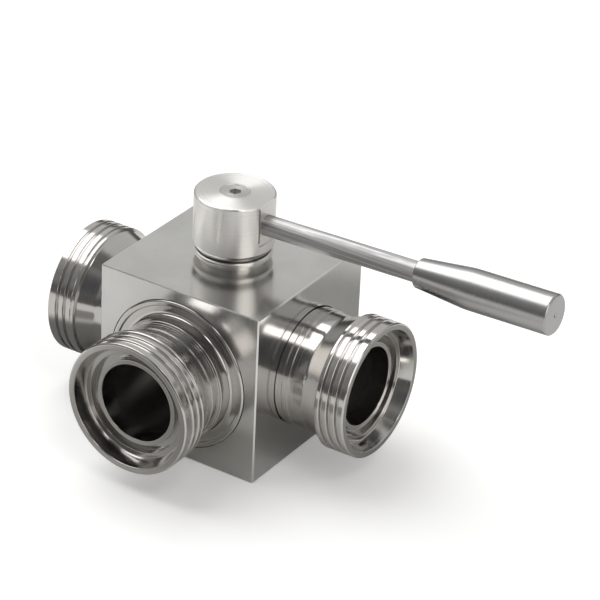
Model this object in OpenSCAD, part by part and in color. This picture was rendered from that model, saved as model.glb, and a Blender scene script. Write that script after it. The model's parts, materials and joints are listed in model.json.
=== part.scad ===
// Three way ball valve: a square block with three threaded union ends,
// a T-ported ball on a stem, and a round hub with a lever rod.
// Origin: centre of the block's underside, below the stem. +Z is up the stem,
// +X points along the run and the lever, -Y along the branch. Millimetres.

/* [Block] */
// Width of the block along X and Y
block_w = 87; // [86:0.5:100]
// Height of the block
block_h = 86; // [85.5:0.5:88]
// Chamfer on every edge of the block
block_chamfer = 0.6; // [0.2:0.1:1.5]
// Height of the three port axes above the underside
port_z = 43; // [42.8:0.1:43.5]

/* [Union ends] */
// Distance from the stem axis to the front rim of each union end
face_d = 82.8; // [80:0.1:95]
// Radius of the flow passage
bore_r = 19; // [12:0.5:19]
// Outside radius of the round union thread
thread_r = 32.5; // [31.5:0.1:34]
// Thread pitch, six threads to the inch
thread_pitch = 4.233; // [3.6:0.001:4.4]
// Depth of the thread
thread_depth = 1.5; // [1:0.1:2.2]
// Number of thread grooves on each end
thread_grooves = 3; // [2:1:3]
// Plain land between the rim and the first groove
front_land = 2.4; // [1:0.1:3]
// Outside radius of the neck just behind the thread collar
neck_r = 27.8; // [26:0.1:28]
// Depth of the sealing lip behind the rim
lip_depth = 7.3; // [5:0.1:9]

/* [Ball and seats] */
// Radius of the ball
ball_r = 33.5; // [33:0.1:33.6]
// Gap between the ball and its seats
ball_gap = 0.3; // [0.2:0.05:0.5]
// Outside radius of the seat rings
seat_r = 25; // [24.5:0.1:25]

/* [Stem and hub] */
// Radius of the stem
stem_r = 9; // [8.8:0.1:9.5]
// Across flats of the stem's square top
square_w = 12; // [10:0.5:12.4]
// Radius of the hub
hub_r = 19; // [17:0.5:22]
// Height of the hub's underside above the origin
hub_z = 91.6; // [91.4:0.1:95]
// Height of the hub
hub_h = 27.9; // [26:0.1:34]
// Distance of the hub's milled flat from the stem axis
hub_flat_x = 17.8; // [16:0.1:18.5]

/* [Lever] */
// Height at which the lever axis crosses the stem axis
lever_z = 107.1; // [106:0.1:109]
// Angle by which the lever rises
lever_rise = 1.7; // [0:0.1:6]
// Radius of the lever rod
rod_r = 4.9; // [3.5:0.1:5.5]
// Distance from the stem axis to the start of the grip
grip_start = 99; // [70:1:140]
// Radius of the grip where it starts
grip_start_r = 6.9; // [6:0.1:8]
// Radius of the grip's cylinder
grip_r = 9.5; // [8:0.1:12]
// Length of the grip's tapered part
grip_taper = 26; // [15:1:35]
// Whole length of the grip
grip_len = 68.6; // [50:0.1:110]

/* [Hidden] */
$fn = 96;

steel = [0.76, 0.76, 0.74];
turned_steel = [0.82, 0.81, 0.79];
ptfe = [0.94, 0.94, 0.92];
elastomer = [0.10, 0.10, 0.11];

// Directions of the ports, as turns about +Z from +X
right_turn = 0;
back_turn = 90;
left_turn = 180;
branch_turn = -90;

cut = 1;                                 // how far a cutting tool runs past a face
fit_gap = 0.05;                          // radial gap of running and screwed fits
half_w = block_w / 2;

// Bores in the block
cavity_r = ball_r + 0.5;
cavity_end = 28.3;                       // how far the main bore runs past the ball's centre
run_nose_r = 27;                         // screwed nose of a run end
branch_nose_r = cavity_r - 0.1;          // plain nose of the branch end
branch_thread_r = cavity_r + 2;
run_shoulder_d = half_w - 4.5;
run_recess_r = 28.8;
branch_shoulder_d = half_w - 3.1;
branch_recess_r = 37.3;
branch_thread_d = 33.5;                  // where the branch thread starts
run_nose_d = 28.3;
branch_nose_d = 28.6;
back_recess_d = 35.5;

// Seats: flat in front, a spherical band that wraps the ball, flat behind
seat_front_d = 25.4;
seat_back_d = 33;
seat_bore_r = bore_r + 0.3;

// Seal rings under the end fittings
seal_h = 2.2;
run_seal_d = 36.4;
run_seal_r = run_nose_r - 1.4;
branch_seal_d = 30;
branch_seal_r = branch_nose_r - 1.6;

// Union end: thread, rim, sealing cone, gasket pocket and lip
crest_flat = 2;
rear_land = 1.8;
groove_w = thread_pitch - crest_flat;
groove_steps = 12;
rim_chamfer = 0.6;
rim_inner_r = 29.3;
cone_foot_r = 27.2;
foot_rise = 0.6;
pocket_r = 24.6;
pocket_depth = 3.2;
lip_r = 21.3;
lip_d = face_d - lip_depth;
collar_end = face_d - front_land - (thread_grooves - 1) * thread_pitch - groove_w - rear_land;
flare_r = thread_r - 1.3;
flare_len = 9.4;
neck_step_1 = 3.4;
neck_step_2 = 6.6;
line_groove = 0.5;
run_neck_r = 28.3;

// Branch flange: raised rim, shallow face and filleted boss
flange_r = 36.9;
flange_rise = 0.8;
flange_rim_in = 34.5;
flange_face_s = -0.2;
boss_r = 29.5;
boss_fillet = 1.8;
boss_len = 7;

// Stem stack, heights above the origin
stem_top_pocket_z = 80.5;
collar_pocket_z = 78.5;
collar_pocket_r = 12.6;
collar_r = 12.3;
collar_bottom = 74.2;
collar_top = 77;
tang_w = 9.9;
tang_l = 20;
tang_bottom = 66.9;
ball_flat_z = 74;
slot_w = 10.1;
slot_l = 30;
slot_bottom = 66.6;
pack_pocket_r = 14;
packing_h = 1.4;
follower_z = stem_top_pocket_z + 2 * packing_h;
follower_h = 1;
gland_z = follower_z + follower_h;
gland_neck_r = 15.2;
gland_flange_r = 18.4;
gland_flange_z = block_h + 2.9;
gland_top = 91.2;
bush_r = 10.9;
ring_z = 88;
ring_wire = 0.8;
ring_mid_r = stem_r - ring_wire;

// Hub, screw and square
hub_top = hub_z + hub_h;
hub_chamfer = 0.8;
hub_foot_h = 3;
hub_foot_r = hub_r - 1.7;
flat_bottom = 98.5;
socket_top = 111.3;
square_top = 111;
screw_r = 4;
screw_head_r = 7;
screw_head_h = 3;
screw_sink = 0.2;
screw_end = 98.5;
screw_hex_w = 5;
screw_hex_depth = 3;

// Lever
rod_start = 8.4;
rod_engage = 13;
grip_chamfer = 0.7;
centre_mark_r = 1.2;

// Puts a shape drawn along +Z onto a port axis
module on_port(turn) {
    translate([0, 0, port_z])
        rotate([0, 90, turn])
            children();
}

// Puts a shape drawn along +Z onto the lever axis
module on_lever() {
    translate([0, 0, lever_z])
        rotate([0, 90 - lever_rise, 0])
            children();
}

// Cylinder between two heights
module rod(r, z1, z2) {
    translate([0, 0, z1])
        cylinder(r = r, h = z2 - z1);
}

// Ring between two radii and two heights
module ring(inner, outer, z1, z2) {
    difference() {
        rod(outer, z1, z2);
        rod(inner, z1 - cut, z2 + cut);
    }
}

// Square outline with cut corners, centred
module cut_square(w, h, c) {
    polygon([
        [-w / 2 + c, -h / 2], [w / 2 - c, -h / 2], [w / 2, -h / 2 + c], [w / 2, h / 2 - c],
        [w / 2 - c, h / 2], [-w / 2 + c, h / 2], [-w / 2, h / 2 - c], [-w / 2, -h / 2 + c]
    ]);
}

// Box standing on the origin's plane, chamfered on all twelve edges
module chamfered_box(w, h, c) {
    translate([0, 0, h / 2])
        intersection() {
            linear_extrude(h, center = true)
                cut_square(w, w, c);
            rotate([90, 0, 0])
                linear_extrude(w, center = true)
                    cut_square(w, h, c);
            rotate([90, 0, 90])
                linear_extrude(w, center = true)
                    cut_square(w, h, c);
        }
}

module block() {
    color(steel)
        difference() {
            chamfered_box(block_w, block_h, block_chamfer);
            // main bore, in from the branch side
            on_port(branch_turn) {
                rod(cavity_r, -cavity_end, branch_thread_d + cut);
                rod(branch_thread_r, branch_thread_d, half_w);
                rod(branch_recess_r, branch_shoulder_d, half_w + cut);
            }
            // pocket for the back seat
            on_port(back_turn) {
                rod(seat_r + fit_gap, 0, seat_back_d);
                rod(seat_bore_r, 0, back_recess_d);
            }
            for (turn = [right_turn, left_turn])
                on_port(turn) {
                    rod(run_nose_r + fit_gap, 0, half_w);
                    rod(run_recess_r, run_shoulder_d, half_w + cut);
                }
            // stem collar pocket, stem hole and packing pocket
            rod(collar_pocket_r, port_z, collar_pocket_z);
            rod(stem_r + fit_gap, port_z, block_h);
            rod(pack_pocket_r, stem_top_pocket_z, block_h + cut);
        }
}

// Thread outline from the rear groove to the front one, as [radius, distance]
function thread_outline() = [
    for (k = [thread_grooves - 1:-1:0], i = [0:groove_steps]) [
        thread_r - thread_depth * (1 - cos(360 * i / groove_steps)) / 2,
        face_d - front_land - k * thread_pitch - groove_w * (1 - i / groove_steps)
    ]
];

// Outline shared by the ends: flare, thread, rim, cone, pocket, lip and bore
function union_outline() = concat(
    [
        [neck_r, collar_end - flare_len],
        [flare_r, collar_end - 0.9],
        [thread_r, collar_end]
    ],
    thread_outline(),
    [
        [thread_r, face_d - rim_chamfer],
        [thread_r - rim_chamfer, face_d],
        [rim_inner_r, face_d],
        [cone_foot_r, lip_d + foot_rise],
        [pocket_r, lip_d + foot_rise],
        [pocket_r, lip_d - pocket_depth],
        [lip_r, lip_d - pocket_depth],
        [lip_r, lip_d],
        [bore_r, lip_d],
        [bore_r, seat_back_d],
        [seat_r + fit_gap, seat_back_d]
    ]
);

// Screwed nose and stepped neck of a run end
function run_outline() = [
    [seat_r + fit_gap, run_nose_d],
    [run_nose_r, run_nose_d],
    [run_nose_r, run_seal_d],
    [run_seal_r, run_seal_d],
    [run_seal_r, run_seal_d + seal_h],
    [run_nose_r, run_seal_d + seal_h],
    [run_nose_r, run_shoulder_d],
    [run_neck_r, run_shoulder_d],
    [run_neck_r, half_w + neck_step_1],
    [run_neck_r - line_groove, half_w + neck_step_1],
    [run_neck_r - line_groove, half_w + neck_step_1 + line_groove],
    [run_neck_r, half_w + neck_step_1 + line_groove],
    [run_neck_r, half_w + neck_step_2],
    [neck_r, half_w + neck_step_2]
];

// Wide nose, screwed flange and filleted boss of the branch end
function branch_outline() = concat(
    [
        [seat_r + fit_gap, branch_nose_d],
        [branch_nose_r, branch_nose_d],
        [branch_nose_r, branch_seal_d],
        [branch_seal_r, branch_seal_d],
        [branch_seal_r, branch_seal_d + seal_h],
        [branch_nose_r, branch_seal_d + seal_h],
        [branch_nose_r, branch_thread_d + 0.2],
        [branch_thread_r - fit_gap, branch_thread_d + 0.2],
        [branch_thread_r - fit_gap, branch_shoulder_d],
        [flange_r, branch_shoulder_d],
        [flange_r, half_w + flange_rise / 4],
        [flange_r - 0.6, half_w + flange_rise],
        [flange_rim_in, half_w + flange_rise],
        [flange_rim_in - 0.3, half_w + flange_face_s]
    ],
    [
        for (a = [0:15:90]) [
            boss_r + boss_fillet * (1 - sin(a)),
            half_w + flange_face_s + boss_fillet * (1 - cos(a))
        ]
    ],
    [
        [boss_r, half_w + boss_len],
        [neck_r + 0.4, half_w + boss_len],
        [neck_r + 0.4, half_w + boss_len + 5],
        [neck_r, half_w + boss_len + 5]
    ]
);

module run_end() {
    rotate_extrude()
        polygon(concat(run_outline(), union_outline()));
}

module branch_end() {
    color(turned_steel)
        on_port(branch_turn)
            rotate_extrude()
                polygon(concat(branch_outline(), union_outline()));
}

module run_end_right() {
    color(turned_steel)
        on_port(right_turn)
            run_end();
}

module run_end_left() {
    color(turned_steel)
        on_port(left_turn)
            run_end();
}

module end_seal_branch() {
    color(elastomer)
        on_port(branch_turn)
            ring(branch_seal_r, branch_nose_r, branch_seal_d, branch_seal_d + seal_h);
}

module run_seal(turn) {
    color(elastomer)
        on_port(turn)
            ring(run_seal_r, run_nose_r, run_seal_d, run_seal_d + seal_h);
}

module end_seal_right() {
    run_seal(right_turn);
}

module end_seal_left() {
    run_seal(left_turn);
}

// Seat ring with a spherical band that wraps the ball
module seat(turn) {
    color(ptfe)
        on_port(turn)
            difference() {
                ring(seat_bore_r, seat_r, seat_front_d, seat_back_d);
                sphere(r = ball_r + ball_gap);
            }
}

module seat_branch() {
    seat(branch_turn);
}

module seat_right() {
    seat(right_turn);
}

module seat_left() {
    seat(left_turn);
}

module seat_back() {
    seat(back_turn);
}

// Ball with a T passage, a flat top and a slot for the stem's tang
module ball() {
    color(turned_steel)
        difference() {
            translate([0, 0, port_z])
                sphere(r = ball_r);
            on_port(right_turn)
                rod(bore_r, -ball_r - cut, ball_r + cut);
            on_port(branch_turn)
                rod(bore_r, 0, ball_r + cut);
            translate([-ball_r, -ball_r, ball_flat_z])
                cube([2 * ball_r, 2 * ball_r, ball_r]);
            translate([-slot_l / 2, -slot_w / 2, slot_bottom])
                cube([slot_l, slot_w, ball_r]);
        }
}

// Stem: tang, collar, shank with a ring groove, square top with a tapped hole
module stem() {
    color(turned_steel)
        difference() {
            union() {
                intersection() {
                    translate([-tang_l / 2, -tang_w / 2, tang_bottom])
                        cube([tang_l, tang_w, collar_bottom - tang_bottom]);
                    rod(tang_l / 2, tang_bottom - cut, collar_bottom + cut);
                }
                rod(collar_r, collar_bottom, collar_top);
                rod(stem_r, collar_top, hub_z);
                translate([0, 0, hub_z])
                    linear_extrude(square_top - hub_z)
                        cut_square(square_w, square_w, 0.5);
            }
            ring(ring_mid_r - ring_wire - fit_gap, stem_r + cut,
                ring_z - ring_wire - fit_gap, ring_z + ring_wire + fit_gap);
            rod(screw_r + fit_gap, screw_end - cut, square_top + cut);
        }
}

module thrust_washer() {
    color(ptfe)
        ring(stem_r + ball_gap, collar_pocket_r - fit_gap, collar_top + ball_gap, collar_pocket_z);
}

module packing_lower() {
    color(ptfe)
        ring(stem_r + fit_gap, pack_pocket_r - fit_gap, stem_top_pocket_z, stem_top_pocket_z + packing_h);
}

module packing_upper() {
    color(ptfe)
        ring(stem_r + fit_gap, pack_pocket_r - fit_gap, stem_top_pocket_z + packing_h, follower_z);
}

module packing_follower() {
    color(steel)
        ring(stem_r + ball_gap, pack_pocket_r - fit_gap, follower_z, gland_z);
}

module stem_bush() {
    color(ptfe)
        ring(stem_r + fit_gap, bush_r, gland_z, gland_top);
}

module stem_o_ring() {
    color(elastomer)
        translate([0, 0, ring_z])
            rotate_extrude()
                translate([ring_mid_r, 0])
                    circle(r = ring_wire);
}

// Gland nut: screwed skirt in the block, narrow neck, round flange under the hub
module gland_nut() {
    color(turned_steel)
        rotate_extrude()
            polygon([
                [bush_r, gland_z],
                [pack_pocket_r - fit_gap, gland_z],
                [pack_pocket_r - fit_gap, block_h],
                [gland_neck_r, block_h],
                [gland_neck_r, gland_flange_z],
                [gland_flange_r - 0.3, gland_flange_z],
                [gland_flange_r, gland_flange_z + 0.3],
                [gland_flange_r, gland_top - 0.5],
                [gland_flange_r - 0.5, gland_top],
                [bush_r, gland_top]
            ]);
}

// Hub: turned drum with a chamfered foot, milled flat, square socket and countersink
module hub() {
    color(steel)
        difference() {
            rotate_extrude()
                polygon([
                    [0, hub_z],
                    [hub_foot_r, hub_z],
                    [hub_r, hub_z + hub_foot_h],
                    [hub_r, hub_top - hub_chamfer],
                    [hub_r - hub_chamfer, hub_top],
                    [0, hub_top]
                ]);
            translate([hub_flat_x, -hub_r, flat_bottom])
                cube([hub_r, 2 * hub_r, hub_h]);
            translate([0, 0, hub_z - cut])
                linear_extrude(socket_top - hub_z + cut)
                    cut_square(square_w + 2 * fit_gap, square_w + 2 * fit_gap, 0.5);
            rod(screw_r + 0.3, socket_top - cut, hub_top);
            translate([0, 0, hub_top - screw_sink - screw_head_h])
                cylinder(r1 = screw_r + 0.1, r2 = screw_head_r + 0.1, h = screw_head_h);
            rod(screw_head_r + 0.1, hub_top - screw_sink, hub_top + cut);
            on_lever()
                rod(rod_r + fit_gap, rod_start - 0.2, hub_r + cut);
        }
}

// Countersunk screw with a hexagon socket
module hub_screw() {
    color(turned_steel)
        difference() {
            union() {
                rod(screw_r, screw_end, hub_top - screw_sink - screw_head_h / 2);
                translate([0, 0, hub_top - screw_sink - screw_head_h])
                    cylinder(r1 = screw_r, r2 = screw_head_r, h = screw_head_h);
            }
            translate([0, 0, hub_top - screw_sink - screw_hex_depth])
                cylinder(r = screw_hex_w / sqrt(3), h = screw_hex_depth + cut, $fn = 6);
        }
}

module lever_rod() {
    color(turned_steel)
        on_lever()
            rod(rod_r, rod_start, grip_start + rod_engage);
}

// Grip: bored for the rod, tapered, then cylindrical, with a centre mark in its end
module lever_grip() {
    color(steel)
        on_lever()
            rotate_extrude()
                polygon([
                    [rod_r + fit_gap, grip_start],
                    [grip_start_r - 0.4, grip_start],
                    [grip_start_r, grip_start + 0.4],
                    [grip_r, grip_start + grip_taper],
                    [grip_r, grip_start + grip_len - grip_chamfer],
                    [grip_r - grip_chamfer, grip_start + grip_len],
                    [centre_mark_r, grip_start + grip_len],
                    [0, grip_start + grip_len - centre_mark_r],
                    [0, grip_start + rod_engage + 0.5],
                    [rod_r + fit_gap, grip_start + rod_engage + 0.5]
                ]);
}

block();
branch_end();
run_end_right();
run_end_left();
end_seal_branch();
end_seal_right();
end_seal_left();
seat_branch();
seat_right();
seat_left();
seat_back();
ball();
stem();
thrust_washer();
packing_lower();
packing_upper();
packing_follower();
stem_bush();
stem_o_ring();
gland_nut();
hub();
hub_screw();
lever_rod();
lever_grip();
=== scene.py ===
"""Looks of the three way valve: camera, light, turned steel pieces with real threads, materials.

Everything is in metres in the CAD frame: origin under the stem, +Z up the stem,
+X along the run and the lever, -Y along the branch.
"""

import json
import math

import bmesh
import bpy
from mathutils import Matrix, Vector


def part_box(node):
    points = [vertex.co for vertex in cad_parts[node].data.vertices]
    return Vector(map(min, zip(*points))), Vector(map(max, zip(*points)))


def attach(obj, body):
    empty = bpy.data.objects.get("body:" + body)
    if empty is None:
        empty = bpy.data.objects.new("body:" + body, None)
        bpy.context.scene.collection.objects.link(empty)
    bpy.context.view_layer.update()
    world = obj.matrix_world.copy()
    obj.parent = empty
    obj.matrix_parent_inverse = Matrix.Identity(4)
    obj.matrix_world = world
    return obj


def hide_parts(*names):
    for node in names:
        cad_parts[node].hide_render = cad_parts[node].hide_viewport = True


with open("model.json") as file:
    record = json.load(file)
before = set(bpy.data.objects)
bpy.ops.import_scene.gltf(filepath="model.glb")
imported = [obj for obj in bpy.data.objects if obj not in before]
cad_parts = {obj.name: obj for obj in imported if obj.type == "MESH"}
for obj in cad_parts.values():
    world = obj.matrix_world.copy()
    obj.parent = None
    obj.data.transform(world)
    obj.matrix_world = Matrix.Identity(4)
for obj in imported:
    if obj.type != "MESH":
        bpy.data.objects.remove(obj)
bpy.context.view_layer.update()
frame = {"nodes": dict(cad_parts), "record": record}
nodes = frame["nodes"]

MM = 0.001
UP = Vector((0, 0, 1))

# ---------------------------------------------------------------- sizes from the frame

block_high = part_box("block")[1]
right_low, right_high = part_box("run_end_right")
hub_low, hub_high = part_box("hub")
screw_low, screw_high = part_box("hub_screw")
gland_low, gland_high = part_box("gland_nut")

HALF_W = block_high.x
BLOCK_TOP = block_high.z
PORT_Z = (right_low.z + right_high.z) / 2
FACE_D = right_high.x
THREAD_R = (right_high.z - right_low.z) / 2
PORT_CENTRE = Vector((0, 0, PORT_Z))
ORIGIN = Vector((0, 0, 0))
HUB_R = (hub_high.y - hub_low.y) / 2
HUB_BOTTOM = hub_low.z
HUB_TOP = hub_high.z
SCREW_TOP = screw_high.z
LEVER_ORIGIN = Vector((0, 0, 107.1 * MM))
LEVER_RISE = math.radians(1.7)
LEVER_AXIS = Vector((math.cos(LEVER_RISE), 0, math.sin(LEVER_RISE)))

SLOT_OF = {part["node"]: part["material_slot"] for part in frame["record"]["subparts"]}
BODIES = frame["record"]["behaviour"]["bodies"]
BODY_OF = {node: body for body, held in BODIES.items() for node in held}


# ---------------------------------------------------------------- camera

def place_camera():
    """Looks down at the front corner between the branch and the right run port."""
    azimuth, elevation, roll = math.radians(31.9), math.radians(29.31), math.radians(2.66)
    distance = 1.4255
    aside, aloft = 0.03174, 0.06406     # the point looked at, right of the stem and above the floor
    back = Vector((
        math.sin(azimuth) * math.cos(elevation),
        -math.cos(azimuth) * math.cos(elevation),
        math.sin(elevation),
    ))
    right = Vector((math.cos(azimuth), math.sin(azimuth), 0))
    up = back.cross(right)
    target = right * aside + UP * aloft
    tilted_right = right * math.cos(roll) + up * math.sin(roll)
    tilted_up = up * math.cos(roll) - right * math.sin(roll)
    data = bpy.data.cameras.new("camera")
    data.sensor_width = 36
    data.lens = 184.06
    data.clip_start = 0.05
    data.clip_end = 20
    camera = bpy.data.objects.new("camera", data)
    bpy.context.scene.collection.objects.link(camera)
    axes = Matrix((tilted_right, tilted_up, back)).transposed().to_4x4()
    camera.matrix_world = Matrix.Translation(target + back * distance) @ axes
    bpy.context.scene.camera = camera


# ---------------------------------------------------------------- node helpers

class Tree:
    """A few short words for making shader nodes."""

    def __init__(self, tree):
        self.tree = tree
        self.tree.nodes.clear()

    def node(self, kind, **settings):
        made = self.tree.nodes.new(kind)
        for key, value in settings.items():
            setattr(made, key, value)
        return made

    def put(self, value, socket):
        """A socket, number or tuple goes into a socket."""
        if isinstance(value, bpy.types.NodeSocket):
            self.tree.links.new(value, socket)
        else:
            socket.default_value = value

    def math(self, operation, *values):
        made = self.node("ShaderNodeMath", operation=operation)
        for value, socket in zip(values, made.inputs):
            self.put(value, socket)
        return made.outputs[0]

    def weighted(self, first, share, second, other_share):
        """The sum of two numbers, each times its share."""
        left = self.math("MULTIPLY", first, share)
        right = self.math("MULTIPLY", second, other_share)
        return self.math("ADD", left, right)

    def vector(self, operation, *values):
        made = self.node("ShaderNodeVectorMath", operation=operation)
        for value, socket in zip(values, made.inputs):
            self.put(value, socket)
        gives_number = operation in ("DOT_PRODUCT", "LENGTH", "DISTANCE")
        return made.outputs["Value" if gives_number else "Vector"]

    def scaled(self, vector, factor):
        made = self.node("ShaderNodeVectorMath", operation="SCALE")
        self.put(vector, made.inputs[0])
        self.put(factor, made.inputs["Scale"])
        return made.outputs["Vector"]

    def span(self, value, low, high, to_low, to_high):
        """Maps low..high to to_low..to_high with soft ends, and holds the ends."""
        made = self.node("ShaderNodeMapRange", interpolation_type="SMOOTHSTEP")
        for put_in, socket in zip((value, low, high, to_low, to_high), made.inputs):
            self.put(put_in, socket)
        return made.outputs[0]

    def noise(self, vector, scale, detail=2.0, roughness=0.5):
        made = self.node("ShaderNodeTexNoise")
        self.put(vector, made.inputs["Vector"])
        made.inputs["Scale"].default_value = scale
        made.inputs["Detail"].default_value = detail
        made.inputs["Roughness"].default_value = roughness
        return made.outputs["Fac"]

    def lines(self, value, scale, detail):
        """Noise along one number: rings, grooves or streaks."""
        made = self.node("ShaderNodeTexNoise", noise_dimensions="1D")
        self.put(self.math("MULTIPLY", value, scale), made.inputs["W"])
        made.inputs["Scale"].default_value = 1
        made.inputs["Detail"].default_value = detail
        return made.outputs["Fac"]

    def mix(self, factor, first, second):
        made = self.node("ShaderNodeMix", data_type="RGBA")
        self.put(factor, made.inputs["Factor"])
        self.put(first, made.inputs[6])
        self.put(second, made.inputs[7])
        return made.outputs[2]

    def fade(self, value, low, high, first, second):
        """The first colour below low, the second above high, and a mix between them."""
        return self.mix(self.span(value, low, high, 0.0, 1.0), first, second)

    def bump(self, height, distance):
        made = self.node("ShaderNodeBump")
        made.inputs["Distance"].default_value = distance
        self.put(height, made.inputs["Height"])
        return made.outputs["Normal"]

    def place(self):
        return self.node("ShaderNodeTexCoord").outputs["Object"]

    def parts(self, vector):
        """The three coordinates of a vector."""
        made = self.node("ShaderNodeSeparateXYZ")
        self.put(vector, made.inputs[0])
        return tuple(made.outputs)


def rgb(red, green, blue):
    return (red, green, blue, 1.0)


def shaded(colour, factor):
    """A colour times a factor, as a socket takes it."""
    return rgb(*(factor * c for c in colour))


def new_material(name):
    """A material, its tree and its Principled shader."""
    material = bpy.data.materials.new(name)
    material.use_nodes = True
    tree = Tree(material.node_tree)
    shader = tree.node("ShaderNodeBsdfPrincipled")
    output = tree.node("ShaderNodeOutputMaterial")
    tree.tree.links.new(shader.outputs[0], output.inputs[0])
    return material, tree, shader


def set_surface(tree, shader, base, dullness, normal, metallic=1.0):
    tree.put(base, shader.inputs["Base Color"])
    tree.put(dullness, shader.inputs["Roughness"])
    tree.put(normal, shader.inputs["Normal"])
    shader.inputs["Metallic"].default_value = metallic


def stretch_highlights(tree, shader, anisotropy, tangent_axis, rotation=0.0):
    """The tangent runs round the axis, and rotation turns it by a share of a full turn."""
    shader.inputs["Anisotropic"].default_value = anisotropy
    shader.inputs["Anisotropic Rotation"].default_value = rotation
    tangent = tree.node("ShaderNodeTangent", direction_type="RADIAL", axis=tangent_axis)
    tree.put(tangent.outputs[0], shader.inputs["Tangent"])


# ---------------------------------------------------------------- metals

# how often the noise of each mark changes in a metre
RINGS_PER_METRE = 5200
BANDS_PER_METRE = 900
STREAKS_PER_METRE = 900
STREAK_ENDS_PER_METRE = 14
GRAIN_PER_METRE = 1500

RING_DEPTH = 0.02 * MM
GRIND_DEPTH = 0.003 * MM
DRAWING_DEPTH = 0.008 * MM
MOULD_DEPTH = 0.01 * MM
BORE_PAINTED_SHADE = 0.6            # painted shade: colour inside a bore, as a share of the colour outside
BORE_DULLNESS = 0.2         # roughness added inside a bore
QUARTER_TURN = 0.25


def from_axis(tree, origin, axis):
    """Distance from an axis, and distance along it, at the shaded point."""
    place = tree.vector("SUBTRACT", tree.place(), tuple(origin))
    along = tree.vector("DOT_PRODUCT", place, tuple(axis))
    beside = tree.vector("SUBTRACT", place, tree.scaled(tuple(axis), along))
    return tree.vector("LENGTH", beside), along


def turned_metal(name, colour, roughness, origin, axis, tangent_axis,
                 anisotropy, groove=0.6, unevenness=0.1, bore=None, foot=None):
    """Steel cut on a lathe: fine rings round one axis, faint bands, cloudy polish.

    groove is the depth of the rings, unevenness the strength of bands and clouds.
    bore is (radius, start, end): inside the radius the steel turns dark and dull from start down to end, the
    darkening a painted shade deep in the bore.
    foot is (distance, roughness, shade): below that distance along the axis it is smoother and darker, the
    darkening a painted shade on a foot that faces down.
    """
    material, tree, shader = new_material(name)
    radius, along = from_axis(tree, origin, axis)
    sweep = tree.math("ADD", radius, along)
    fine = tree.lines(sweep, RINGS_PER_METRE, 2)
    bands = tree.lines(sweep, BANDS_PER_METRE, 3)
    cloud = tree.noise(tree.place(), 60, 3)
    height = tree.weighted(fine, 0.6, bands, 0.4)
    tint = tree.math("ADD", bands, cloud)
    base = tree.fade(tint, 0.7, 1.3, shaded(colour, 1 - unevenness), rgb(*colour))
    polish = tree.weighted(cloud, 0.5, bands, 0.5)
    smoothest = roughness * (1 - 2.5 * unevenness)
    roughest = roughness * (1 + 3 * unevenness)
    dullness = tree.span(polish, 0.3, 0.7, smoothest, roughest)
    if bore:
        bore_r, bore_start, bore_end = bore
        inside = tree.math(
            "MULTIPLY",
            tree.span(radius, bore_r, bore_r + 0.2 * MM, 1.0, 0.0),
            tree.span(along, bore_end, bore_start, 1.0, 0.0),
        )
        # painted shade: the colour darkens deeper in the bore
        base = tree.mix(inside, base, shaded(colour, BORE_PAINTED_SHADE))
        dullness = tree.math("ADD", dullness, tree.math("MULTIPLY", inside, BORE_DULLNESS))
    if foot:
        foot_end, foot_roughness, foot_painted_shade = foot
        above = tree.span(along, foot_end - 0.2 * MM, foot_end + 0.1 * MM, 0.0, 1.0)
        polished_share = tree.span(above, 0, 1, foot_roughness / roughness, 1.0)
        dullness = tree.math("MULTIPLY", dullness, polished_share)
        # painted shade: the foot's colour is darkened
        base = tree.mix(above, shaded(colour, foot_painted_shade), base)
    set_surface(tree, shader, base, dullness, tree.bump(height, groove * RING_DEPTH))
    stretch_highlights(tree, shader, anisotropy, tangent_axis, QUARTER_TURN)
    return material


def ground_metal(name, colour, right_roughness, side_roughness, top_roughness):
    """Ground flats: long faint streaks, cloudy polish, a dullness for each face, edges rubbed bright."""
    material, tree, shader = new_material(name)
    place = tree.place()
    x, y, z = tree.parts(place)
    # the streaks run up the sides and slantwise over the top
    stretched = tree.node("ShaderNodeCombineXYZ")
    tree.put(tree.math("MULTIPLY", tree.math("SUBTRACT", x, y), STREAKS_PER_METRE), stretched.inputs[0])
    tree.put(tree.math("MULTIPLY", tree.math("ADD", x, y), STREAK_ENDS_PER_METRE), stretched.inputs[1])
    tree.put(tree.math("MULTIPLY", z, STREAK_ENDS_PER_METRE), stretched.inputs[2])
    streaks = tree.noise(stretched.outputs[0], 1.0, 3, 0.6)
    cloud = tree.noise(place, 38, 4, 0.6)
    grain = tree.noise(place, GRAIN_PER_METRE, 2)

    # two of the three distances from the block's middle come near the half width only at an edge
    offsets = [
        tree.math("ABSOLUTE", x),
        tree.math("ABSOLUTE", y),
        tree.math("ABSOLUTE", tree.math("SUBTRACT", z, PORT_Z)),
    ]
    pairs = [tree.math("MINIMUM", offsets[i], offsets[j]) for i, j in ((0, 1), (1, 2), (0, 2))]
    edge = tree.math("MAXIMUM", tree.math("MAXIMUM", pairs[0], pairs[1]), pairs[2])
    ragged = tree.math("ADD", edge, tree.math("MULTIPLY", grain, 0.6 * MM))
    rub_start, rub_full = HALF_W - 0.9 * MM, HALF_W - 0.1 * MM
    base = tree.fade(cloud, 0.35, 0.65, shaded(colour, 0.93), rgb(*colour))
    base = tree.fade(ragged, rub_start, rub_full, base, shaded(colour, 1.15))

    # a face's own finish comes in between these depths under it
    near, far = 0.6 * MM, 0.3 * MM
    face = tree.span(x, HALF_W - near, HALF_W - far, side_roughness, right_roughness)
    face = tree.span(z, BLOCK_TOP - near, BLOCK_TOP - far, face, top_roughness)
    worn = tree.weighted(cloud, 0.6, streaks, 0.4)
    dullness = tree.math("MULTIPLY", face, tree.span(worn, 0.35, 0.65, 0.9, 1.15))
    side_streaks, top_streaks = 0.7, 0.12
    depth = tree.span(z, BLOCK_TOP - near, BLOCK_TOP - far, side_streaks, top_streaks)
    height = tree.weighted(streaks, depth, grain, 0.2)
    set_surface(tree, shader, base, dullness, tree.bump(height, GRIND_DEPTH))
    return material


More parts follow.
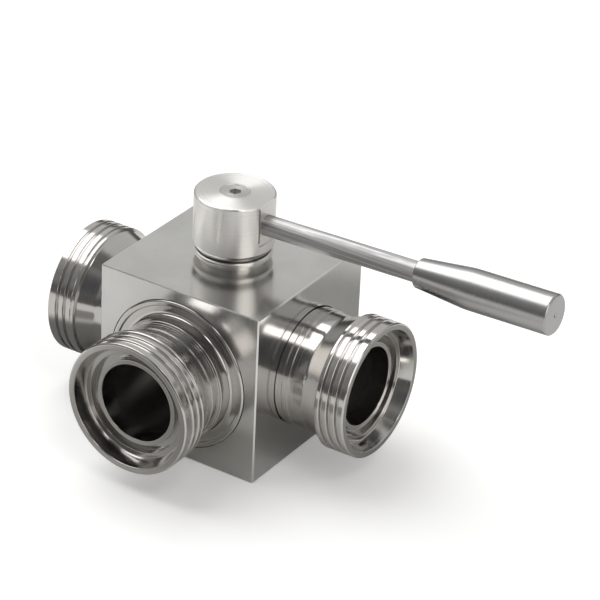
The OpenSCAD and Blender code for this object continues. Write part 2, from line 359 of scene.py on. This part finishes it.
def drawn_metal(name, colour, roughness):
    """Bright drawn bar: streaks along the bar, which lies nearly along X."""
    material, tree, shader = new_material(name)
    stretch = tree.node("ShaderNodeMapping")
    tree.put(tree.place(), stretch.inputs["Vector"])
    stretch.inputs["Scale"].default_value = (10, 800, 800)
    streaks = tree.noise(stretch.outputs[0], 1.0, 3, 0.6)
    cloud = tree.noise(tree.place(), 80, 3)
    base = tree.fade(streaks, 0.4, 0.6, shaded(colour, 0.62), rgb(*colour))
    dullness = tree.span(cloud, 0.35, 0.65, roughness * 0.9, roughness * 1.1)
    set_surface(tree, shader, base, dullness, tree.bump(streaks, DRAWING_DEPTH))
    stretch_highlights(tree, shader, 0.6, "X")
    return material


def moulded(name, colour, roughness, mottle):
    """Plastic or rubber: a fine grain, and blotches whose colour is mottle times the main one."""
    material, tree, shader = new_material(name)
    cloud = tree.noise(tree.place(), 120, 3)
    grain = tree.noise(tree.place(), 900, 2)
    base = tree.fade(cloud, 0.35, 0.65, shaded(colour, mottle), rgb(*colour))
    dullness = tree.span(grain, 0.3, 0.7, roughness * 0.9, roughness * 1.1)
    set_surface(tree, shader, base, dullness, tree.bump(grain, MOULD_DEPTH), metallic=0.0)
    return material


# ---------------------------------------------------------------- turned pieces

CORNER_STEPS = 4      # segments in each rounded corner
HOLD = 0.10 * MM      # a ring this far beyond each corner keeps flats flat in shading


def soften(outline, closed=True):
    """Rounds the corners of an outline of (radius, distance, corner radius) in metres."""
    count = len(outline)
    made = []
    for i, (r, d, corner) in enumerate(outline):
        here = Vector((r, d))
        if not closed and i in (0, count - 1):
            made.append(here)
            continue
        before = Vector(outline[i - 1][:2]) - here
        after = Vector(outline[(i + 1) % count][:2]) - here
        reach = min(corner, 0.42 * before.length, 0.42 * after.length)
        start = here + before.normalized() * reach
        end = here + after.normalized() * reach
        if before.length > 2 * (reach + HOLD):
            made.append(start + before.normalized() * HOLD)
        for step in range(CORNER_STEPS + 1):
            t = step / CORNER_STEPS
            made.append(start * (1 - t) ** 2 + here * (2 * t * (1 - t)) + end * t ** 2)
        if after.length > 2 * (reach + HOLD):
            made.append(end + after.normalized() * HOLD)
    return made


def mesh_object(name, vertices, faces, material):
    mesh = bpy.data.meshes.new(name)
    mesh.from_pydata(vertices, [], faces)
    work = bmesh.new()
    work.from_mesh(mesh)
    bmesh.ops.remove_doubles(work, verts=work.verts, dist=1e-7)
    bmesh.ops.recalc_face_normals(work, faces=work.faces)
    work.to_mesh(mesh)
    work.free()
    if material:
        mesh.materials.append(material)
    mesh.shade_smooth()
    mesh.update()
    piece = bpy.data.objects.new(name, mesh)
    bpy.context.scene.collection.objects.link(piece)
    return piece


def lathe(name, points, axes, material, segments=192, closed=True, cut=None):
    """Turns an outline about the third column of axes.

    cut(r, d, angle) may lower a radius, as a thread does.
    """
    vertices = []
    faces = []
    rows = len(points)
    for r, d in points:
        for k in range(segments):
            angle = math.tau * k / segments
            radius = min(r, cut(r, d, angle)) if cut else r
            vertices.append(axes @ Vector((radius * math.cos(angle), radius * math.sin(angle), d)))
    last = rows if closed else rows - 1
    for i in range(last):
        j = (i + 1) % rows
        for k in range(segments):
            n = (k + 1) % segments
            faces.append((i * segments + k, j * segments + k, j * segments + n, i * segments + n))
    return mesh_object(name, vertices, faces, material)


def axis_frame(origin, direction):
    """A right-handed frame at origin whose Z is the direction."""
    return Matrix.Translation(origin) @ direction.to_track_quat("Z", "Y").to_matrix().to_4x4()


UPRIGHT = Matrix.Identity(4)
ALONG_LEVER = axis_frame(LEVER_ORIGIN, LEVER_AXIS)


def box_mesh(name, low, high):
    """A plain box for cutting with."""
    corners = [
        (x, y, z)
        for x in (low[0], high[0])
        for y in (low[1], high[1])
        for z in (low[2], high[2])
    ]
    faces = [(0, 1, 3, 2), (4, 6, 7, 5), (0, 4, 5, 1), (2, 3, 7, 6), (0, 2, 6, 4), (1, 5, 7, 3)]
    return mesh_object(name, corners, faces, None)


def carve(piece, tools, edge):
    """Cuts the tools out of a piece, then breaks the new sharp edges."""
    sharp = math.radians(30)
    for tool in tools:
        cut = piece.modifiers.new(tool.name, "BOOLEAN")
        cut.operation = "DIFFERENCE"
        cut.solver = "EXACT"
        cut.object = tool
    depsgraph = bpy.context.evaluated_depsgraph_get()
    carved = bpy.data.meshes.new_from_object(piece.evaluated_get(depsgraph))
    piece.modifiers.clear()
    piece.data = carved
    for tool in tools:
        bpy.data.objects.remove(tool)
    carved.shade_smooth()
    carved.set_sharp_from_angle(angle=sharp)
    bevel = piece.modifiers.new("edges", "BEVEL")
    bevel.limit_method = "ANGLE"
    bevel.angle_limit = sharp
    bevel.width = edge
    bevel.segments = 3
    bevel.harden_normals = True


def stand_for(piece, node):
    """The piece takes the place and the body of a CAD node, which is hidden."""
    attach(piece, BODY_OF[node])
    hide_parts(node)


# ---------------------------------------------------------------- end fittings

PITCH = 25.4 / 6 * MM
THREAD_DEPTH = 1.5 * MM
GROOVE_SHARE = 0.53         # share of the pitch that is groove, the rest is crest
COLLAR_LEN = 14.9 * MM
FRONT_LAND = 2.0 * MM
REAR_LAND = 0.9 * MM
RUN_OUT = 1.6 * MM
COLLAR_STEPS = 96           # rows of points along the collar, for the thread

BORE_R = 19.0 * MM
NECK_R = 27.8 * MM
FLARE_LEN = 9.4 * MM        # the neck widens to the collar over this length
LIP = FACE_D - 7.3 * MM     # the sealing lip lies behind the rim
LIP_R = 21.3 * MM
GASKET_POCKET_R = 24.6 * MM
GASKET_POCKET_DEPTH = 3.2 * MM
CONE_FOOT_R = 27.2 * MM     # the cone inside the rim starts here and opens outwards
CONE_FOOT_RISE = 0.6 * MM
RIM_INNER_R = 29.3 * MM
RIM_CHAMFER = 0.6 * MM
SEAT_POCKET_R = 25.05 * MM  # counterbore at the inner end that takes the seat
SEAT_BACK = 33 * MM

RUN_NOSE_R = 27.0 * MM
RUN_NECK_R = 28.3 * MM
BRANCH_NOSE_R = 33.9 * MM
BRANCH_THREAD_R = 35.95 * MM
FLANGE_R = 36.9 * MM
BOSS_R = 29.5 * MM


def thread_cut(phase):
    """A helix of round grooves between flat crests that fades out before the rim and the flare."""
    def cut(r, d, angle):
        behind = FACE_D - d
        if behind > COLLAR_LEN or r < THREAD_R - 0.01 * MM:
            return r
        turn = (behind / PITCH + angle / math.tau + phase) % 1.0
        across = abs(turn - 0.5) / (GROOVE_SHARE / 2)
        groove = 0.5 + 0.5 * math.cos(math.pi * min(across, 1.0))
        front = min(max((behind - FRONT_LAND) / RUN_OUT, 0), 1)
        rear = min(max((COLLAR_LEN - REAR_LAND - behind) / RUN_OUT, 0), 1)
        return THREAD_R - THREAD_DEPTH * groove * front * rear
    return cut


def union_outline():
    """Flare, collar, rim, sealing cone, gasket pocket, lip and bore, from the neck to the seat."""
    edge = 0.25 * MM
    collar = FACE_D - COLLAR_LEN
    land = FACE_D - 0.8 * MM
    cone_foot = LIP + CONE_FOOT_RISE
    pocket_floor = LIP - GASKET_POCKET_DEPTH
    rows = [
        (NECK_R, collar - FLARE_LEN, 1.2 * MM),
        (THREAD_R - 1.3 * MM, collar - 0.9 * MM, 0.3 * MM),
        (THREAD_R, collar, edge),
    ]
    rows += [(THREAD_R, collar + (land - collar) * i / COLLAR_STEPS, 0) for i in range(1, COLLAR_STEPS)]
    rows += [
        (THREAD_R, FACE_D - RIM_CHAMFER, edge),
        (THREAD_R - RIM_CHAMFER, FACE_D, edge),
        (RIM_INNER_R, FACE_D, edge),
        (CONE_FOOT_R, cone_foot, 0.3 * MM),
        (GASKET_POCKET_R, cone_foot, 0.15 * MM),
        (GASKET_POCKET_R, pocket_floor, 0.2 * MM),
        (LIP_R, pocket_floor, 0.2 * MM),
        (LIP_R, LIP, edge),
        (BORE_R, LIP, 0.3 * MM),
        (BORE_R, SEAT_BACK, 0.1 * MM),
        (SEAT_POCKET_R, SEAT_BACK, 0.1 * MM),
    ]
    return rows


def groove_rows(outer_r, inner_r, start, end, edge):
    """A square groove from start to end in a cylinder."""
    return [(outer_r, start, edge), (inner_r, start, edge), (inner_r, end, edge), (outer_r, end, edge)]


def run_neck():
    """Nose with a seal groove, then a neck with one dividing line."""
    edge = 0.15 * MM
    nose = 28.3 * MM
    seal_r, seal_start, seal_end = 25.6 * MM, 36.4 * MM, 38.6 * MM
    shoulder = HALF_W - 4.5 * MM
    line = HALF_W + 3.4 * MM
    step = HALF_W + 6.6 * MM
    return [
        (SEAT_POCKET_R, nose, edge),
        (RUN_NOSE_R, nose, edge),
        *groove_rows(RUN_NOSE_R, seal_r, seal_start, seal_end, edge),
        (RUN_NOSE_R, shoulder, edge),
        (RUN_NECK_R, shoulder, edge),
        *groove_rows(RUN_NECK_R, NECK_R, line, line + 0.5 * MM, edge),
        (RUN_NECK_R, step, edge),
        (NECK_R, step, edge),
    ]


def branch_neck():
    """Nose with a seal groove, screwed part, flange with a raised rim, boss and neck."""
    edge = 0.15 * MM
    rim_edge = 0.2 * MM
    nose = 28.6 * MM
    seal_r, seal_start, seal_end = 32.3 * MM, 30.0 * MM, 32.2 * MM
    thread_start = 33.7 * MM
    flange_back = HALF_W - 3.1 * MM
    flange_face = HALF_W - 0.2 * MM
    rim = HALF_W + 0.8 * MM
    rim_outer_r, rim_inner_r, recess_r = 36.3 * MM, 34.5 * MM, 34.2 * MM
    boss_end = HALF_W + 7 * MM
    step = HALF_W + 12 * MM
    middle_r = 28.2 * MM
    return [
        (SEAT_POCKET_R, nose, edge),
        (BRANCH_NOSE_R, nose, edge),
        *groove_rows(BRANCH_NOSE_R, seal_r, seal_start, seal_end, edge),
        (BRANCH_NOSE_R, thread_start, edge),
        (BRANCH_THREAD_R, thread_start, edge),
        (BRANCH_THREAD_R, flange_back, edge),
        (FLANGE_R, flange_back, edge),
        (FLANGE_R, HALF_W + 0.2 * MM, rim_edge),
        (rim_outer_r, rim, rim_edge),
        (rim_inner_r, rim, rim_edge),
        (recess_r, flange_face, rim_edge),
        (BOSS_R, flange_face, 1.8 * MM),
        (BOSS_R, boss_end, 0.3 * MM),
        (middle_r, boss_end, edge),
        (middle_r, step, edge),
        (NECK_R, step, edge),
    ]


def make_end(node, direction, neck, tangent_axis, phase):
    """One end fitting with its helical thread, in place of the CAD node."""
    # painted shade: the bore is darkened from just inside the lip inwards
    painted_shade_start, painted_shade_end = LIP - 1 * MM, LIP - 14 * MM
    material = turned_metal(
        "steel_" + node, END_STEEL, roughness=0.13,
        origin=PORT_CENTRE, axis=direction, tangent_axis=tangent_axis,
        anisotropy=0.3, groove=0.3, unevenness=0.08,
        bore=(BORE_R + 0.05 * MM, painted_shade_start, painted_shade_end),
    )
    piece = lathe(
        node + "_turned",
        soften(neck + union_outline()),
        axis_frame(PORT_CENTRE, direction),
        material,
        segments=256,
        cut=thread_cut(phase),
    )
    stand_for(piece, node)


# ---------------------------------------------------------------- gland nut and hub

FOOT_TOP = HUB_BOTTOM + 3 * MM      # the hub's foot widens up to here
SCREW_R = 4 * MM
SCREW_HEAD_R = 7 * MM
SCREW_HEAD_H = 3 * MM
PAST = 1 * MM                       # how far a cutting tool runs past a face


def make_gland_nut(material):
    """Bored for the bush, screwed into the block, with a neck and a round flange above it."""
    edge = 0.2 * MM
    bush_r = 10.9 * MM
    thread_r = 13.95 * MM
    neck_r = 15.2 * MM
    flange_r = 18.4 * MM
    flange_bottom = BLOCK_TOP + 2.9 * MM
    points = [
        (bush_r, gland_low.z, edge),
        (thread_r, gland_low.z, edge),
        (thread_r, BLOCK_TOP, 0.1 * MM),
        (neck_r, BLOCK_TOP, 0.1 * MM),
        (neck_r, flange_bottom, edge),
        (flange_r - 0.3 * MM, flange_bottom, edge),
        (flange_r, BLOCK_TOP + 3.2 * MM, edge),
        (flange_r, gland_high.z - 0.5 * MM, edge),
        (flange_r - 0.5 * MM, gland_high.z, edge),
        (bush_r, gland_high.z, edge),
    ]
    stand_for(lathe("gland_nut_turned", soften(points), UPRIGHT, material), "gland_nut")


def make_hub(material):
    """Turned drum with a chamfered foot, a milled flat, a square socket and a hole for the lever."""
    edge = 0.3 * MM
    hole_edge = 0.1 * MM
    chamfer = 0.8 * MM
    screw_hole_r = SCREW_R + 0.3 * MM
    head_hole_r = SCREW_HEAD_R + 0.1 * MM
    points = [
        (screw_hole_r, HUB_BOTTOM, hole_edge),
        (HUB_R - 1.7 * MM, HUB_BOTTOM, edge),
        (HUB_R, FOOT_TOP, edge),
        (HUB_R, HUB_TOP - chamfer, edge),
        (HUB_R - chamfer, HUB_TOP, edge),
        (head_hole_r, HUB_TOP, hole_edge),
        (head_hole_r, HUB_TOP - 0.2 * MM, 0.05 * MM),
        (screw_hole_r, HUB_TOP - SCREW_HEAD_H, hole_edge),
    ]
    piece = lathe("hub_turned", soften(points), UPRIGHT, material, segments=288)

    flat_x = 17.8 * MM
    flat_bottom = 98.5 * MM
    far_x = 2 * HUB_R
    # a thin groove along the flat's front edge
    flat_edge = -math.sqrt(HUB_R ** 2 - flat_x ** 2)
    relief_low = (flat_x - 1.2 * MM, flat_edge, 100.5 * MM)
    relief_high = (far_x, flat_edge + 1.0 * MM, HUB_TOP - 1.6 * MM)
    half_square = 6.05 * MM
    socket_top = 111.3 * MM
    socket_low = (-half_square, -half_square, HUB_BOTTOM - PAST)
    socket_high = (half_square, half_square, socket_top)
    hole_start, hole_end = 8.2 * MM, HUB_R + PAST
    hole = [(0, hole_start, 0), (ROD_HOLE_R, hole_start, 0), (ROD_HOLE_R, hole_end, 0), (0, hole_end, 0)]
    hole_points = soften(hole, closed=False)
    tools = [
        box_mesh("flat_cut", (flat_x, -HUB_R, flat_bottom), (far_x, HUB_R, HUB_TOP + PAST)),
        box_mesh("relief_cut", relief_low, relief_high),
        box_mesh("socket_cut", socket_low, socket_high),
        lathe("lever_cut", hole_points, ALONG_LEVER, None, segments=96, closed=False),
    ]
    carve(piece, tools, 0.15 * MM)
    stand_for(piece, "hub")


def make_hub_screw(material):
    """Countersunk screw with a hexagon socket."""
    points = [
        (0, screw_low.z, 0),
        (SCREW_R, screw_low.z, 0.4 * MM),
        (SCREW_R, SCREW_TOP - SCREW_HEAD_H, 0.2 * MM),
        (SCREW_HEAD_R, SCREW_TOP, 0.2 * MM),
        (0, SCREW_TOP, 0),
    ]
    screw_points = soften(points, closed=False)
    piece = lathe("hub_screw_turned", screw_points, UPRIGHT, material, segments=144, closed=False)
    hexagon_r = 5 / math.sqrt(3) * MM       # 5 mm across flats
    socket_depth = 3 * MM
    bottom = SCREW_TOP - socket_depth
    top = SCREW_TOP + PAST
    hexagon = [(0, bottom), (hexagon_r, bottom), (hexagon_r, top), (0, top)]
    carve(piece, [lathe("hex_cut", hexagon, UPRIGHT, None, segments=6, closed=False)], 0.12 * MM)
    stand_for(piece, "hub_screw")


# ---------------------------------------------------------------- lever

ROD_R = 4.9 * MM
ROD_HOLE_R = 4.95 * MM
ROD_START = 8.4 * MM        # distances along the lever are measured from the stem
ROD_END = 112 * MM
GRIP_START = 99 * MM
GRIP_LEN = 68.6 * MM
GRIP_TAPER = 26 * MM
GRIP_START_R = 6.9 * MM
GRIP_R = 9.5 * MM
GRIP_CHAMFER = 0.7 * MM
CENTRE_MARK_R = 1.2 * MM


def make_lever_rod(material):
    edge = 0.3 * MM
    points = soften([
        (0, ROD_START, 0),
        (ROD_R, ROD_START, edge),
        (ROD_R, ROD_END, edge),
        (0, ROD_END, 0),
    ], closed=False)
    piece = lathe("lever_rod_bar", points, ALONG_LEVER, material, segments=128, closed=False)
    stand_for(piece, "lever_rod")


def make_lever_grip(material):
    """Bored for the rod, tapered, then cylindrical, with a centre mark in its end."""
    edge = 0.15 * MM
    end = GRIP_START + GRIP_LEN
    hole_end = GRIP_START + 13.5 * MM
    points = soften([
        (0, hole_end, 0),
        (ROD_HOLE_R, hole_end, 0.1 * MM),
        (ROD_HOLE_R, GRIP_START, 0.1 * MM),
        (GRIP_START_R - 0.4 * MM, GRIP_START, edge),
        (GRIP_START_R, GRIP_START + 0.4 * MM, edge),
        (GRIP_R, GRIP_START + GRIP_TAPER, 3 * MM),
        (GRIP_R, end - GRIP_CHAMFER, 0.3 * MM),
        (GRIP_R - GRIP_CHAMFER, end, 0.3 * MM),
        (CENTRE_MARK_R, end, edge),
        (0, end - CENTRE_MARK_R, 0),
    ], closed=False)
    piece = lathe("lever_grip_turned", points, ALONG_LEVER, material, closed=False)
    stand_for(piece, "lever_grip")


# ---------------------------------------------------------------- world, floor

def make_world():
    """A studio: a large softbox up on the left, a small one up on the right, a lamp on the right.

    The walls are grey. The room in front, the horizon and the ceiling between the softboxes are dark.
    """
    world = bpy.data.worlds.new("studio")
    bpy.context.scene.world = world
    world.use_nodes = True
    tree = Tree(world.node_tree)
    way = tree.node("ShaderNodeTexCoord").outputs["Generated"]

    def towards(direction):
        return tree.vector("DOT_PRODUCT", way, tuple(Vector(direction).normalized()))

    def patch(direction, inner, outer):
        """1 inside a cone about a direction, 0 outside, in degrees."""
        wide, narrow = math.cos(math.radians(outer)), math.cos(math.radians(inner))
        return tree.span(towards(direction), wide, narrow, 0.0, 1.0)

    height = tree.parts(way)[2]
    room = tree.math(
        "MULTIPLY",
        tree.span(towards((0.15, -0.99, 0)), 0.2, 0.6, 0.0, 1.0),
        tree.span(height, 0.48, 0.70, 1.0, 0.0),
    )
    horizon = tree.span(height, 0.16, 0.34, 1.0, 0.0)
    walls = rgb(0.34, 0.34, 0.33)
    # each layer covers the ones before it
    layers = [
        (patch((-0.46, 0.74, 0.49), 20, 60), (0.66, 0.66, 0.645)),      # light wall behind
        (patch((0.5, 0.5, 0.7), 20, 50), (0.62, 0.62, 0.61)),           # light wall, right and behind
        (room, (0.24, 0.24, 0.24)),
        (patch((0.46, -0.74, 0.49), 12, 34), (0.09, 0.09, 0.095)),      # dark where the main view's camera is
        (horizon, (0.12, 0.115, 0.11)),
        (patch((0.12, -0.20, 0.97), 8, 24), (0.14, 0.14, 0.135)),       # dark ceiling
        (patch((0.88, -0.25, 0.40), 13, 25), (1.7, 1.64, 1.58)),        # lamp on the right
        (patch((0.46, -0.27, 0.85), 5, 10), (4.2, 4.1, 4.0)),           # small softbox
        (patch((-0.48, 0.08, 0.86), 24, 30), (3.1, 3.1, 3.1)),          # large softbox
    ]
    colour = walls
    for factor, light in layers:
        colour = tree.mix(factor, colour, rgb(*light))
    background = tree.node("ShaderNodeBackground")
    tree.put(colour, background.inputs["Color"])
    output = tree.node("ShaderNodeOutputWorld")
    tree.tree.links.new(background.outputs[0], output.inputs[0])


# Painted shadows on the floor, darker spots that only reflections and bounced light meet:
# x and y of the middle, inner and outer radius, all in millimetres, and the grey inside.
FLOOR_PAINTED_SHADOWS = (
    (-24, -95, 45, 88, 0.66),
    (-72, -42, 40, 70, 0.20),
    (90, 80, 60, 110, 0.36),
    (-10, -178, 56, 98, 0.28),
)


def make_floor():
    """White and plain to the camera's rays. Reflections and bounced light meet a greyer floor with painted
    shadows.
    """
    half = 4.0
    sunk = 0.05 * MM            # the floor lies just under the valve
    white = rgb(0.93, 0.93, 0.93)
    glow = 0.22                 # lifts the white to that of a page
    material, tree, shader = new_material("floor")
    seen = tree.node("ShaderNodeLightPath").outputs["Is Camera Ray"]
    reflected = rgb(0.83, 0.83, 0.82)
    for x, y, inner, outer, grey in FLOOR_PAINTED_SHADOWS:
        aside = tree.vector("DISTANCE", tree.place(), (x * MM, y * MM, 0))
        painted_shadow = rgb(grey, grey, 0.96 * grey)
        # painted shadow: inside its inner radius the floor turns to the spot's grey
        reflected = tree.fade(aside, inner * MM, outer * MM, painted_shadow, reflected)
    tree.put(tree.mix(seen, reflected, white), shader.inputs["Base Color"])
    tree.put(tree.math("MULTIPLY", seen, glow), shader.inputs["Emission Strength"])
    shader.inputs["Emission Color"].default_value = rgb(1, 1, 1)
    shader.inputs["Roughness"].default_value = 0.9
    corners = [(-half, -half, 0), (half, -half, 0), (half, half, 0), (-half, half, 0)]
    floor = mesh_object("floor", corners, [(0, 1, 2, 3)], material)
    floor.location.z = -sunk


# ---------------------------------------------------------------- build

place_camera()
make_world()
make_floor()

STEEL = (0.66, 0.655, 0.64)
END_STEEL = (0.61, 0.595, 0.575)
HUB_STEEL = (0.88, 0.865, 0.84)
ROD_STEEL = (0.54, 0.53, 0.53)
GRIP_STEEL = (0.45, 0.445, 0.445)
# painted shade: the ball and inner parts are darker than the other steel, to look shaded deep in the bores
BALL_STEEL = (0.40, 0.40, 0.39)
PTFE_WHITE = (0.82, 0.82, 0.79)
RUBBER_BLACK = (0.022, 0.022, 0.024)

ABOUT_STEM = {"origin": ORIGIN, "axis": UP, "tangent_axis": "Z"}
ABOUT_LEVER = {"origin": LEVER_ORIGIN, "axis": LEVER_AXIS, "tangent_axis": "X"}
FOOT_ROUGHNESS = 0.16
# painted shade: the hub's foot, facing down towards the gland nut and the block top, is darkened
FOOT_PAINTED_SHADE = 0.42

run_axis = Vector((1, 0, 0))
branch_axis = Vector((0, -1, 0))
make_end("run_end_right", run_axis, run_neck(), "X", phase=0.08)
make_end("run_end_left", -run_axis, run_neck(), "X", phase=0.2)
make_end("branch_end", branch_axis, branch_neck(), "Y", phase=0.2)
make_gland_nut(turned_metal(
    "gland_steel", HUB_STEEL, roughness=0.3, **ABOUT_STEM, anisotropy=0.7, groove=0.3,
))
make_hub(turned_metal(
    "hub_steel", HUB_STEEL, roughness=0.34, **ABOUT_STEM,
    anisotropy=0.85, groove=0.2, unevenness=0.06, foot=(FOOT_TOP, FOOT_ROUGHNESS, FOOT_PAINTED_SHADE),
))
make_hub_screw(turned_metal("screw_steel", STEEL, roughness=0.3, **ABOUT_STEM, anisotropy=0.6))
make_lever_rod(drawn_metal("rod_steel", ROD_STEEL, roughness=0.48))
make_lever_grip(turned_metal(
    "grip_steel", GRIP_STEEL, roughness=0.29, **ABOUT_LEVER,
    anisotropy=0.2, groove=0.03, unevenness=0.03,
))

# its colour is a painted shade for the parts seen inside the bores
polished = turned_metal(
    "polished_steel", BALL_STEEL, roughness=0.2, **ABOUT_STEM, anisotropy=0.3, groove=0.3,
)
FINISHES = {
    "block_steel": ground_metal(
        "block_steel", STEEL, right_roughness=0.14, side_roughness=0.18, top_roughness=0.18,
    ),
    "turned_steel": polished,
    "polished_steel": polished,
    "seat_plastic": moulded("ptfe", PTFE_WHITE, roughness=0.42, mottle=0.94),
    "elastomer": moulded("elastomer", RUBBER_BLACK, roughness=0.5, mottle=0.8),
}
# the CAD solids that have a turned piece in their place are hidden, and take the polished finish
for node, slot in SLOT_OF.items():
    mesh = nodes[node].data
    mesh.materials.clear()
    mesh.materials.append(FINISHES.get(slot, polished))

bpy.context.scene.view_settings.view_transform = "Standard"
